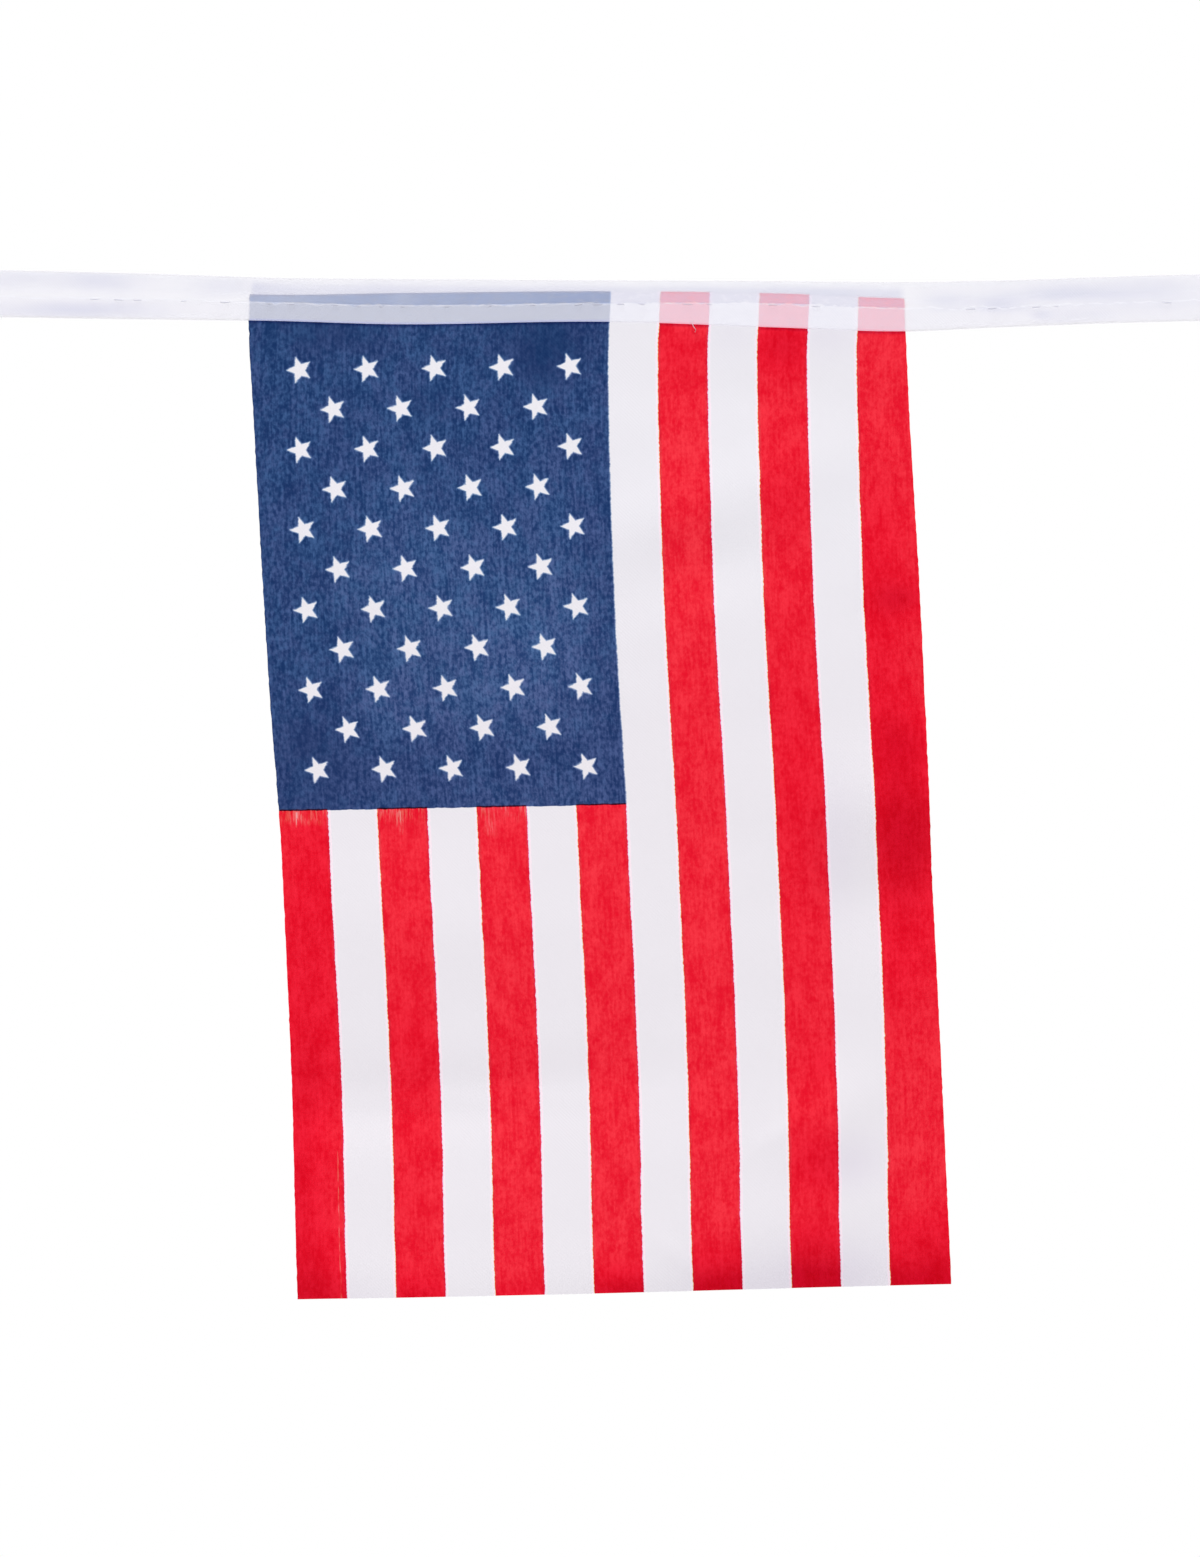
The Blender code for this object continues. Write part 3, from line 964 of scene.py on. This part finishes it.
def ribbon_layers(tree, place, above_hem):
    """The ribbon's colour over the flag, with painted shade and bounced light: two layers of it on
    the hem and one above.
    """
    double = tree.step(above_hem, 0.0, -HEM_EDGE)
    strength = tree.step(double, 1.0, 0.0, *LAYERS_PARTED)
    parted = tree.swing(tree.noise(place, *RIBBON_GAPS), strength)
    double = tree.math("ADD", double, parted, clamp=True)
    haze = tree.mix(tree.attribute("ribbon_haze", "Fac"), HAZE_THIN, HAZE_THICK)
    on_blue = tree.over(1.0, haze, ONE_LAYER[2])
    one_layer = ribbon_on_flag(tree, (*ONE_LAYER[:2], on_blue))
    return tree.mix(double, one_layer, ribbon_on_flag(tree, TWO_LAYERS))


def tape_cloth():
    tree = Tree("tape_cloth")
    place = tree.attribute("ribbon_place", "Vector")
    across, along = tree.split(place)
    soft = tree.noise(place, *RIBBON_CLOUDS)
    # Painted shade and light on the ribbon, with soft clouds of tint.
    tint = tree.attribute("ribbon_painted_shade", "Fac")
    lavender = tree.math("ADD", tint, tree.swing(soft, TINT_CLOUDY), clamp=True)
    above_hem = strayed(tree, "above_hem", along, 0.0, HEM_WAVE)
    above_tuck = strayed(tree, "above_tuck", along, TUCK_START, TUCK_WAVE)
    on_flag = tree.times(
        tree.step(tree.attribute("inside_cut", "Fac"), 0.0, HEM_EDGE),
        tree.step(above_tuck, *TUCK_EDGE),
    )
    colour = tree.mix(lavender, TAPE_PALE, TAPE_LAVENDER)
    colour = tree.mix(on_flag, colour, ribbon_layers(tree, place, above_hem))

    inner_edge = tree.math("ABSOLUTE", tree.add(above_hem, HEM_LINE_BELOW))
    whole = tree.step(tree.noise(place, *RIBBON_BREAKS), *HEM_LINE_BREAKS)
    hem_line = tree.times(tree.step(inner_edge, *HEM_LINE), whole, HEM_LINE_SHARE)
    colour = tree.mix(hem_line, colour, TAPE_EDGE)
    # Painted shade along the folds, and a painted highlight on the bottom fold over the flag.
    fold = tree.mix(lavender, TAPE_FOLD_PALE_SHADE, TAPE_FOLD_SHADE)
    fold = tree.mix(on_flag, fold, ribbon_on_flag(tree, FOLD_HIGHLIGHT))
    low = tree.step(tree.attribute("above_fold", "Fac"), *BOTTOM_LINE)
    high = tree.times(tree.step(tree.attribute("below_top", "Fac"), *TOP_LINE), TOP_LINE_SHARE)
    colour = tree.mix(tree.math("MAXIMUM", low, high), colour, fold)
    tree.bump(tree.weave(across, along, RIBBON_PITCH), WEAVE_HEIGHT * MM, strength=0.5)
    roughness = tree.step(soft, *GRAIN_LIMITS, *RIBBON_ROUGHNESS)
    return tree.finish(colour, roughness, specular=0.1, sheen=0.03, alpha=TAPE_ALPHA)


def thread_cloth():
    tree = Tree("thread_white")
    node = tree.nodes.new("ShaderNodeTexCoord")
    ply = tree.noise(node.outputs["Object"], *(size * MM for size in PLY), detail=1.0, rough=0.5)
    colour = tree.mix(tree.times(ply, PLY_SHARE), THREAD_WHITE, TAPE_LAVENDER)
    tree.bump(ply, PLY_HEIGHT * MM, strength=0.4)
    return tree.finish(colour, roughness=0.6, sheen=0.05)


def floor_paint():
    tree = Tree("floor_pale")
    node = tree.nodes.new("ShaderNodeTexCoord")
    cloudy = tree.noise(node.outputs["Object"], *FLOOR_CLOUDS, detail=2.0, rough=0.5)
    darker = tuple(FLOOR_DARKER * part for part in FLOOR_PALE)
    return tree.finish(tree.mix(cloudy, FLOOR_PALE, darker), roughness=0.9)


# ---------------------------------------------------------------- pieces


def make_flag():
    v, u = grid(round(FLAG_LONG / FLAG_CELL), round(FLAG_WIDE / FLAG_CELL))
    points = flag_points(u, v)
    place = print_place(points)
    fray(points)
    flag = sheet_object("flag_cloth", points, v, u, printed_cloth())
    give(flag, "print_place", place)
    give(flag, "star_place", star_place(place))
    x, z = points[..., 0], points[..., 2]
    # ink depth with its painted shade, and the painted shade of the bare cloth
    for name, rows in (("ink_depth_and_shade", INK_AND_SHADE_ROWS), ("painted_cloth_shade", PAINTED_SHADE_ROWS)):
        give(flag, name, np.clip(swells(rows, INK_AND_SHADE_COLUMNS, x, z), -1.0, 1.0))
    give(flag, "below_tape", tape_at(x, "bottom") - z)
    return flag


def ribbon_painted_shade(x, z, left, right):
    """How lavender the ribbon is, as painted shade, in its own places and over the flag's top edge;
    negative values paint light.
    """
    beside = swells(RIBBON_SHADE_AND_LIGHT_ROWS, TINT_COLUMNS, x, z)
    over_flag = ease((x - left) / TINT_EDGE) * ease((right - x) / TINT_EDGE)
    sunk = ease((tape_at(x, "top") - z - TINT_START) / TINT_RUN)
    return beside + TINT_OVER_FLAG * over_flag * sunk


def make_tape():
    points = ribbon_points()
    steps = np.linalg.norm(np.diff(points, axis=1), axis=-1)
    across = np.concatenate([np.zeros((len(points), 1)), np.cumsum(steps, axis=1)], axis=1)
    v = across / across[:, -1:]
    u = np.broadcast_to(np.linspace(0, 1, len(points))[:, None], v.shape)
    tape = sheet_object("tape_ribbon", points, v, u, tape_cloth())
    x, z = points[..., 0], points[..., 2]
    left, right = (smooth_at(SIDES["z"], SIDES[side], z) for side in SIDE_COLUMNS[1:])
    give(tape, "ribbon_place", np.stack([across, x, np.zeros_like(x)], axis=-1))
    give(tape, "print_place", print_place(points))
    give(tape, "ribbon_painted_shade", ribbon_painted_shade(x, z, left, right))
    give(tape, "ribbon_haze", 0.5 + swells(HAZE_ROWS, TINT_COLUMNS, x, z) / 2)
    give(tape, "inside_cut", np.minimum(x - left, right - x))
    give(tape, "above_tuck", z - tape_at(x, "tuck"))
    give(tape, "above_hem", z - tape_at(x, "hem"))
    give(tape, "above_fold", z - tape_at(x, "bottom"))
    give(tape, "below_top", tape_at(x, "top") - z)
    # The shade that the tape gives the flag is painted instead: into the ribbon's colours over the
    # flag and as the dark line under it.
    tape.visible_shadow = False  # so sheer that it hardly shades the flag
    tape.visible_diffuse = False
    return tape


def tube(path, radius):
    """Points and faces of a closed tube along a path in the tape's plane or near it."""
    path = np.asarray(path, float)
    ahead = np.gradient(path, axis=0)
    ahead /= np.linalg.norm(ahead, axis=1)[:, None]
    side = np.cross(ahead, (0.0, 0.0, 1.0))
    side /= np.linalg.norm(side, axis=1)[:, None]
    up = np.cross(side, ahead)
    turns = np.linspace(0, 2 * math.pi, THREAD_SIDES, endpoint=False)[None, :, None]
    ring = np.cos(turns) * side[:, None] + np.sin(turns) * up[:, None]
    points = (path[:, None] + radius * ring).reshape(-1, 3)
    faces = [
        (
            k * THREAD_SIDES + j,
            k * THREAD_SIDES + (j + 1) % THREAD_SIDES,
            (k + 1) * THREAD_SIDES + (j + 1) % THREAD_SIDES,
            (k + 1) * THREAD_SIDES + j,
        )
        for k in range(len(path) - 1)
        for j in range(THREAD_SIDES)
    ]
    end = (len(path) - 1) * THREAD_SIDES
    faces.append(tuple(reversed(range(THREAD_SIDES))))
    faces.append(tuple(range(end, end + THREAD_SIDES)))
    return points, faces


def stitch_path(x, facing, draw):
    """One stitch on the tape's front (facing -1) or back (+1): up out of the cloth and in again."""
    t = np.linspace(-1, 1, THREAD_STEPS)
    along = x + t * draw.uniform(*STITCH_LENGTH) / 2 + draw.uniform(-STITCH_STRAY, STITCH_STRAY)
    slant = draw.uniform(-STITCH_SLANT, STITCH_SLANT)
    z = tape_at(along, "hem") - STITCH_BELOW + slant * t
    arch = STITCH_ARCH * THREAD_RADIUS * np.sqrt(1 - STITCH_ROUND * t * t)
    return np.stack([along, facing * (LEG_OUT - THREAD_RADIUS + arch), z], axis=-1)


def make_stitches():
    first, last = tape_ends()
    draw = np.random.default_rng(5)
    points, faces, count = [], [], 0
    paths = [[(x, -LEG_OUT - THREAD_RADIUS, z) for x, z in LOOSE_THREAD]]
    for facing, start in STITCH_LINES:
        for k in range(int((last - first) / STITCH_PITCH) - 1):
            x = first + STITCH_PITCH * (k + start) + STITCH_LENGTH[1]
            if draw.random() > STITCH_MISSED:
                paths.append(stitch_path(x, facing, draw))
    for path in paths:
        more, new = tube(path, THREAD_RADIUS)
        points.append(more)
        faces += [tuple(count + i for i in face) for face in new]
        count += len(more)
    mesh = bpy.data.meshes.new("tape_stitches")
    mesh.from_pydata((np.concatenate(points) * MM).tolist(), [], faces)
    return add_object("tape_stitches", mesh, thread_cloth())


# ---------------------------------------------------------------- stage


def make_camera():
    data = bpy.data.cameras.new("camera")
    data.sensor_width = SENSOR
    data.lens = SENSOR * CAMERA_DISTANCE / VIEW_HEIGHT
    data.clip_start, data.clip_end = CAMERA_CLIP
    camera = bpy.data.objects.new("camera", data)
    camera.location = (0.0, -CAMERA_DISTANCE, VIEW_CENTRE_Z)
    camera.rotation_euler = (math.pi / 2, 0.0, 0.0)
    bpy.context.scene.collection.objects.link(camera)
    bpy.context.scene.camera = camera


def make_lamp(name, place, share):
    """A far soft lamp that gives the face it meets that share of full white light."""
    away = Vector((0.0, 0.0, VIEW_CENTRE_Z)) - Vector(place)
    data = bpy.data.lights.new(name, "SUN")
    data.angle = LAMP_SPREAD
    data.energy = share * math.pi / abs(away.normalized().y)
    lamp = bpy.data.objects.new(name, data)
    lamp.location = place
    lamp.rotation_euler = away.to_track_quat("-Z", "Y").to_euler()
    bpy.context.scene.collection.objects.link(lamp)


def make_world():
    """White behind the object for the camera, and softer light from all round it."""
    world = bpy.data.worlds.new("studio")
    world.use_nodes = True
    bpy.context.scene.world = world
    nodes, links = world.node_tree.nodes, world.node_tree.links
    path = nodes.new("ShaderNodeLightPath")
    strength = nodes.new("ShaderNodeMapRange")
    strength.inputs["To Min"].default_value = WORLD_SHARE
    strength.inputs["To Max"].default_value = 1.0
    links.new(path.outputs["Is Camera Ray"], strength.inputs["Value"])
    background = nodes["Background"]
    background.inputs["Color"].default_value = (1.0, 1.0, 1.0, 1.0)
    links.new(strength.outputs[0], background.inputs["Strength"])


def make_floor():
    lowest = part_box("flag_panel")[0].z - FLOOR_DROP
    ways = ((-1, -1), (1, -1), (1, 1), (-1, 1))
    corners = [(x * FLOOR_HALF, y * FLOOR_HALF, lowest) for x, y in ways]
    mesh = bpy.data.meshes.new("floor")
    mesh.from_pydata(corners, [], [(0, 1, 2, 3)])
    add_object("floor", mesh, floor_paint())


def main():
    bpy.context.scene.view_settings.view_transform = "Standard"
    make_camera()
    make_world()
    for row in table_rows(LAMP_ROWS, LAMP_COLUMNS):
        make_lamp(**row)
    make_floor()

    flag, tape, stitches = make_flag(), make_tape(), make_stitches()
    for piece in (flag, tape, stitches):
        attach(piece, "root")
    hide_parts("flag_panel")
    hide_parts("header_tape")


main()
